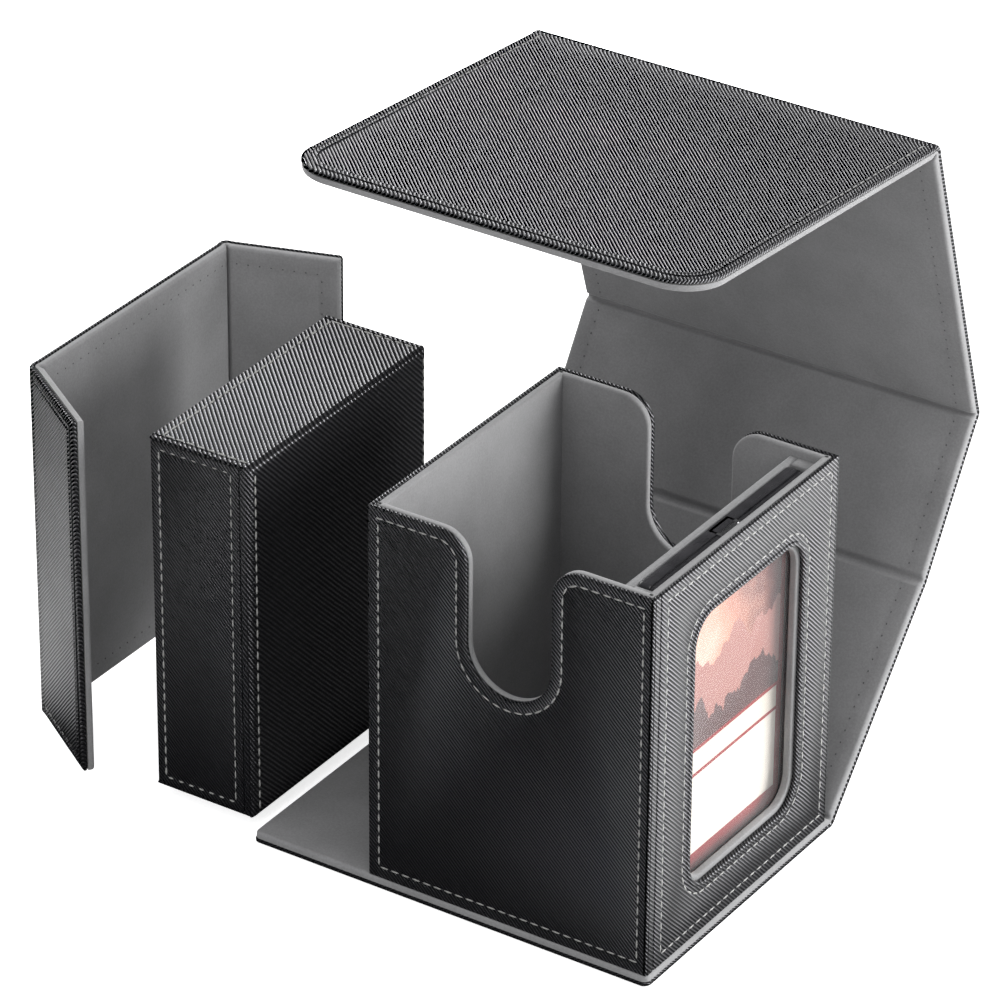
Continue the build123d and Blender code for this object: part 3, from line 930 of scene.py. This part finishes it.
def window_cutter(grow):
    """A block with the window's rounded outline, for cutting."""
    half_y, half_z = WINDOW_HALF[0] + grow, WINDOW_HALF[1] + grow
    low = (box_high.x - WINDOW_CUT, WINDOW_MID.y - half_y, WINDOW_MID.z - half_z)
    high = (box_high.x + 1 * MM, WINDOW_MID.y + half_y, WINDOW_MID.z + half_z)
    made = block("cutter", low, high)
    choose("EDGE", lambda e: runs_along(e, 0))
    bpy.ops.mesh.bevel(offset=WINDOW_R + grow, segments=12, affect="EDGES")
    bpy.ops.object.mode_set(mode="OBJECT")
    return made


right_split = box_high.x - WALL_LEATHER
wall = block(
    "compartment_window_leather",
    (right_split, box_low.y + FRONT_EDGE, bottom_z),
    (box_high.x, box_high.y - BACK_SHY, box_high.z),
)
cut_with(wall, window_cutter(0.0))
press_seam(lambda f: f.normal.x > 0.9)
rim_bevel(WALL_RIM, above_foot)
cover_wall(wall)
corner = block(
    "compartment_corner_leather",
    (right_split - 0.2 * MM, box_low.y, bottom_z),
    (box_high.x, box_low.y + FRONT_EDGE - STRIP_GAP, box_high.z),
)
rim_bevel(0.45 * MM, above_foot, 4)
cover_wall(corner)
liner = block(
    "compartment_window_liner",
    (inner_high.x, box_low.y + WALL_LEATHER, bottom_z),
    (right_split, box_high.y - WALL_LEATHER, box_high.z - LINING_DROP),
)
cut_with(liner, window_cutter(-LINING_LIP))
line_wall(liner, 0.5 * MM)


def rounded_path(grow, put, steps=8):
    """The window's outline grown outwards, as a closed seam."""
    half_y, half_z, radius = WINDOW_HALF[0] + grow, WINDOW_HALF[1] + grow, WINDOW_R + grow
    path = []
    for sy, sz, first in ((1, 1, 90), (1, -1, 0), (-1, -1, -90), (-1, 1, -180)):
        centre = (WINDOW_MID.y + sy * (half_y - radius), WINDOW_MID.z + sz * (half_z - radius))
        path += arc(centre, radius, first, first - 90, steps, put)
    return path


def on_window_wall(y, z):
    return (box_high.x - STITCH_SINK, y, z)


outer_seam = rectangle_path(
    (box_low.y + FRONT_EDGE + SEAM_IN, box_low.z + SEAM_IN),
    (box_high.y - BACK_SHY - SEAM_IN, seam_high[1]),
    on_window_wall,
)
window_seam = rounded_path(SEAM_IN, on_window_wall)
sew(
    "compartment_window_stitches",
    [(outer_seam, (1, 0, 0), True), (window_seam, (1, 0, 0), True)],
    thread_grey,
    "box",
)

BEAD_R = 0.75 * MM
BEAD_OUT = 0.55 * MM
BEAD_SINK = 0.25 * MM
bead_line = rounded_path(BEAD_OUT, lambda y, z: (box_high.x - BEAD_SINK, y, z), 10)
bead_curve = bpy.data.curves.new("window_bead", "CURVE")
bead_curve.dimensions = "3D"
spline = bead_curve.splines.new("POLY")
spline.points.add(len(bead_line) - 1)
for point, spot in zip(spline.points, bead_line):
    point.co = (*spot, 1)
spline.use_cyclic_u = True
bead_curve.bevel_depth = BEAD_R
bead_curve.bevel_resolution = 3
bead = bpy.data.objects.new("compartment_window_bead", bead_curve)
bpy.context.scene.collection.objects.link(bead)
pick(bead)
bpy.ops.object.convert(target="MESH")
cover_wall(bpy.context.object)

# ---------------------------------------------------------------------------
# Divider and spacers of the card slot
# Boards wrapped all over in the same microfibre, with soft edges. They are glued in behind the window and
# leave a slot that holds the card case upright.

divider_low, divider_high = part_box("slot_divider")
divider = block("slot_divider_liner", divider_low, divider_high)
rim_bevel(LINING_RIM, lambda e: middle_of(e).z > divider_high.z - 1e-5, 4)
finish_piece(divider, lining, "box")
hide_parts("slot_divider")

spacer_low, spacer_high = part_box("slot_spacers")
case_low, case_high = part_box("case_back_shell")
SPACER_END = 3.7 * MM
SPACER_DROP = 0.15 * MM
side_top = spacer_high.z - SPACER_DROP
back_low = (spacer_low.x, spacer_high.y - SPACER_END, spacer_low.z)
for label, low, high in (
    ("front", spacer_low, (spacer_high.x, spacer_low.y + SPACER_END, side_top)),
    ("back", back_low, (spacer_high.x, spacer_high.y, side_top)),
    ("under", spacer_low, (spacer_high.x, spacer_high.y, case_low.z - 0.1 * MM)),
):
    spacer = block(f"slot_spacer_{label}", low, high)
    rim_bevel(0.5 * MM, lambda e: middle_of(e).z > spacer_high.z - 1 * MM, 3)
    finish_piece(spacer, lining, "box")
    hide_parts("slot_spacers")

# ---------------------------------------------------------------------------
# Card case
# A rigid case of glossy black plastic: a back shell and a front frame round a clear pane, held shut by a
# small steel latch on top. It stands in the slot behind the window and lifts out.

FRAME_W = 6.2 * MM
FRAME_FOOT = 8.2 * MM
FRAME_DROP = 0.35 * MM
CASE_CORNER = 2 * MM
PANE_CORNER = 3 * MM
SHELL_WALL = 2.9 * MM
SHELL_RECESS = 0.65 * MM
front_low, front_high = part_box("case_front_frame")

case_black, tree, shader, smear = two_toned(
    "glossy_black_plastic", (0.020, 0.020, 0.022), (0.040, 0.039, 0.043), 120, 4.0, 0.02 * MM
)
tree.links.new(math_node(tree, "MULTIPLY_ADD", smear, 0.14, 0.10), shader.inputs["Roughness"])


def round_corners(radius, test=lambda e: True):
    """Rounds the active piece's corners that run from left to right."""
    choose("EDGE", lambda e: runs_along(e, 0) and test(e))
    bpy.ops.mesh.bevel(offset=radius, segments=6, affect="EDGES")


shell = block("case_back_tray", case_low, case_high)
choose("FACE", lambda f: f.normal.x > 0.9)
bpy.ops.mesh.inset(thickness=SHELL_WALL)
bpy.ops.mesh.extrude_region_move(TRANSFORM_OT_translate={"value": (-SHELL_RECESS, 0, 0)})
round_corners(CASE_CORNER, lambda e: abs(middle_of(e).y) > case_high.y - 1 * MM)
rim_bevel(0.2 * MM, lambda e: True, 2)
finish_piece(shell, case_black, "card_case")
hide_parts("case_back_shell")

rim = block("case_front_rim", front_low, front_high - Vector((0, 0, FRAME_DROP)))
round_corners(CASE_CORNER)
hole_low = front_low + Vector((-1 * MM, FRAME_W, FRAME_FOOT))
hole_high = front_high + Vector((1 * MM, -FRAME_W, -FRAME_W))
hole = block("cutter", hole_low, hole_high)
round_corners(PANE_CORNER)
bpy.ops.object.mode_set(mode="OBJECT")
cut_with(rim, hole)
rim_bevel(0.3 * MM, lambda e: True, 3)
finish_piece(rim, case_black, "card_case")
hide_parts("case_front_frame")

# The pane's pale, mottled veil is partly real haze and partly painted glare.
clear, tree, shader, haze_and_glare = two_toned(
    "clear_plastic", (0.35, 0.35, 0.35), (0.70, 0.70, 0.70), 30, 3.0, gloss=0.2
)
tree.links.new(math_node(tree, "MULTIPLY_ADD", haze_and_glare, 0.06, 0.04), shader.inputs["Roughness"])
shader.inputs["Alpha"].default_value = 0.09
shader.inputs["IOR"].default_value = 1.35
PANE_T = 1.2 * MM
pane_low, pane_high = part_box("case_clear_panel")
pane = block("case_clear_pane", (pane_high.x - PANE_T, pane_low.y, pane_low.z), pane_high)
round_corners(PANE_CORNER)
rim_bevel(0.2 * MM, lambda e: True, 2)
finish_piece(pane, clear, "card_case")
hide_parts("case_clear_panel")

# ---------------------------------------------------------------------------
# Display card
# A plain card of printed board in the case: a dark red border round blank cream fields and a picture of hills
# at dusk.

BORDER_RED = (0.22, 0.008, 0.012, 1)
TITLE_CREAM = (0.62, 0.56, 0.48, 1)
LINE_CREAM = (0.60, 0.55, 0.48, 1)
TEXT_CREAM = (0.66, 0.62, 0.56, 1)
SKY_STOPS = [(0.25, (0.70, 0.50, 0.42)), (0.62, (0.52, 0.24, 0.17)), (0.95, (0.07, 0.010, 0.010))]
FAR_HILLS = (0.30, 0.13, 0.11, 1)
NEAR_HILLS = (0.055, 0.018, 0.018, 1)

card_paint, tree, shader = new_material("plain_card", gloss=0.06, roughness=0.5)
coords = tree.nodes.new("ShaderNodeTexCoord").outputs["Object"]
split = tree.nodes.new("ShaderNodeSeparateXYZ")
tree.links.new(coords, split.inputs[0])
card_low, card_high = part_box("display_card")


def inside_field(low_y, high_y, low_z, high_z):
    """1 inside a rectangular field of the card, given in millimetres from its lower front corner."""
    y, z = split.outputs["Y"], split.outputs["Z"]
    mask = math_node(tree, "GREATER_THAN", y, card_low.y + low_y * MM)
    for operation, at, line in (
        ("LESS_THAN", y, card_low.y + high_y * MM),
        ("GREATER_THAN", z, card_low.z + low_z * MM),
        ("LESS_THAN", z, card_low.z + high_z * MM),
    ):
        mask = math_node(tree, "MULTIPLY", mask, math_node(tree, operation, at, line))
    return mask


def hill_line(foot, swing, scale, seed):
    """1 below a rolling line across the card's picture."""
    moved = tree.nodes.new("ShaderNodeVectorMath")
    moved.operation = "MULTIPLY_ADD"
    moved.inputs[1].default_value = (0, 1, 0.25)
    moved.inputs[2].default_value = (seed, 0, 0)
    tree.links.new(coords, moved.inputs[0])
    rolling = noise_of(tree, moved.outputs[0], scale, 4.0, 0.6)
    top = math_node(tree, "MULTIPLY_ADD", rolling, swing * MM, card_low.z + foot * MM)
    return math_node(tree, "LESS_THAN", split.outputs["Z"], top)


dusk = math_node(tree, "MULTIPLY_ADD", split.outputs["Y"], 14.0, 0.35)
clouds = math_node(tree, "MULTIPLY", noise_of(tree, coords, 60, 4.0), 0.55)
picture = ramp_of(tree, math_node(tree, "ADD", dusk, clouds), SKY_STOPS)
picture = mix_colours(tree, picture, FAR_HILLS, hill_line(36, 46, 45, 0.3))
picture = mix_colours(tree, picture, NEAR_HILLS, hill_line(24, 44, 75, 1.7))
paint = mix_colours(tree, BORDER_RED, TITLE_CREAM, inside_field(3, 58, 77, 84))
paint = mix_colours(tree, paint, picture, inside_field(3.5, 58.5, 37, 76))
paint = mix_colours(tree, paint, LINE_CREAM, inside_field(3, 58, 30, 36))
paint = mix_colours(tree, paint, TEXT_CREAM, inside_field(3.5, 58, 7, 29))
tree.links.new(paint, shader.inputs["Base Color"])
tree.links.new(bump_of(tree, noise_of(tree, coords, 5000, 2.0), 0.01 * MM), shader.inputs["Normal"])
card = block("plain_display_card", card_low, card_high)
round_corners(PANE_CORNER)
finish_piece(card, card_paint, "card_case")
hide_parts("display_card")

# ---------------------------------------------------------------------------
# Latch of the card case
# A small clip of brushed steel let into the top of the case, with a shallow pressed recess.

latch_steel = two_toned(
    "latch_steel", (0.30, 0.30, 0.31), (0.55, 0.55, 0.56), 1800, 3.0, roughness=0.25, metallic=1.0
)[0]
latch_low, latch_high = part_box("case_latch")
latch = block("case_latch_clip", latch_low, latch_high)
choose("FACE", lambda f: f.normal.z > 0.9)
bpy.ops.mesh.inset(thickness=0.9 * MM)
bpy.ops.mesh.inset(thickness=0.3 * MM, depth=-0.3 * MM)
rim_bevel(0.15 * MM, lambda e: True, 2)
finish_piece(latch, latch_steel, "card_case")
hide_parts("case_latch")

# ---------------------------------------------------------------------------
# Dice tray
# A shallow box, open on the left. One piece of leather wraps the large face, the top and the bottom; the
# narrow front and back have panels of their own, sewn on beside a groove.

tray_low, tray_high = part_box("tray_wrap_skin")
# Room for the cover's lining when it is closed over the tray.
COVER_PLAY = 0.12 * MM
tray_low += Vector((COVER_PLAY, COVER_PLAY, 0))
tray_high -= Vector((0, COVER_PLAY, 0))
TRAY_LEATHER = 1.25 * MM
SIDE_END = 3.5 * MM
SIDE_RECESS = 0.5 * MM
SIDE_PANEL = 0.6 * MM
SIDE_SEAM = 2.6 * MM
TOP_SEAM = 2.4 * MM
FACE_SEAM = 1.9 * MM
SIDE_GAP = 0.2 * MM
SIDE_SHY = 0.8 * MM
RIB_SHRINK = 0.8


def open_box(name, low, high, thick, round_r, rim_r, recess=0.0):
    """A box without its left side, with walls of one thickness and rounded edges round its large face."""
    piece = block(name, low, high)
    choose("EDGE", lambda e: middle_of(e).x > high[0] - 1e-5)
    bpy.ops.mesh.bevel(offset=round_r, segments=6, affect="EDGES")
    choose("EDGE", lambda e: runs_along(e, 0) and is_sharp(e, 60))
    bpy.ops.mesh.bevel(offset=rim_r, segments=3, affect="EDGES")
    choose("FACE", lambda f: f.normal.x < -0.9)
    bpy.ops.mesh.delete(type="FACE")
    if recess:
        line = high[0] - SIDE_END + 0.3 * MM
        bpy.ops.mesh.select_all(action="SELECT")
        bpy.ops.mesh.bisect(plane_co=(line, 0, 0), plane_no=(1, 0, 0))
        choose("FACE", lambda f: abs(f.normal.y) > 0.99 and f.calc_center_median().x < line)
        bpy.ops.mesh.inset(thickness=0.15 * MM, depth=-recess, use_individual=False, use_boundary=False)
    bpy.ops.object.mode_set(mode="OBJECT")
    wall = piece.modifiers.new("wall", "SOLIDIFY")
    wall.thickness = thick
    wall.offset = -1
    wall.use_even_offset = True
    bpy.ops.object.modifier_apply(modifier=wall.name)
    return piece


wrap = open_box("tray_leather", tray_low, tray_high, TRAY_LEATHER, 2.0 * MM, 0.6 * MM, SIDE_RECESS)
finish_piece(wrap, leather, "dice_tray", cloth=RIB_SHRINK)
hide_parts("tray_wrap_skin")
liner = open_box(
    "tray_liner",
    tray_low + Vector((LINING_DROP, TRAY_LEATHER, TRAY_LEATHER)),
    tray_high - Vector((TRAY_LEATHER, TRAY_LEATHER, TRAY_LEATHER)),
    PANEL - TRAY_LEATHER,
    1.0 * MM,
    0.8 * MM,
)
finish_piece(liner, lining, "dice_tray")
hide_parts("tray_lining")
for side, way in (("front", -1), ("back", 1)):
    y = tray_low.y if way < 0 else tray_high.y
    ys = sorted((y, y - way * SIDE_PANEL))
    panel = block(
        f"tray_{side}_panel",
        (tray_low.x + SIDE_GAP, ys[0], tray_low.z + SIDE_SHY),
        (tray_high.x - SIDE_END - SIDE_GAP, ys[1], tray_high.z - SIDE_SHY),
    )
    press_seam(lambda f: f.normal.y * way > 0.9, SIDE_SEAM)
    rim_bevel(0.3 * MM, lambda e: True, 2)
    finish_piece(panel, leather, "dice_tray")
    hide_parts(f"tray_{side}_skin")

row_x = (tray_low.x + SIDE_SEAM, tray_high.x - SIDE_END - SIDE_SEAM)
row_z = (tray_low.z + SIDE_SEAM + 0.3 * MM, tray_high.z - SIDE_SEAM - 0.3 * MM)
runs = []
for way, y in ((-1, tray_low.y), (1, tray_high.y)):
    seam_y = y - way * STITCH_SINK
    path = rectangle_path((row_x[0], row_z[0]), (row_x[1], row_z[1]), lambda x, z: (x, seam_y, z))
    runs.append((path, (0, way, 0), True))
    y_row = y - way * FACE_SEAM
    foot, head = tray_low.z + 2 * MM, tray_high.z - 2 * MM
    runs.append(([(tray_high.x + 0.02 * MM, y_row, foot), (tray_high.x, y_row, head)], (1, 0, 0), False))
top_y = (tray_low.y + TOP_SEAM, tray_high.y - TOP_SEAM)
for way, z in ((1, tray_high.z), (-1, tray_low.z)):
    near_face, near_mouth = tray_high.x - TOP_SEAM, tray_low.x + SIDE_SEAM
    corners = [(near_face, top_y[0]), (near_mouth, top_y[0]), (near_mouth, top_y[1]), (near_face, top_y[1])]
    runs.append(([(x, y, z) for x, y in corners], (0, 0, way), False))
sew("tray_stitches", runs, thread_grey, "dice_tray")

low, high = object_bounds()
{"cad": [list(cad_low), list(cad_high)], "visual": [list(low), list(high)]}
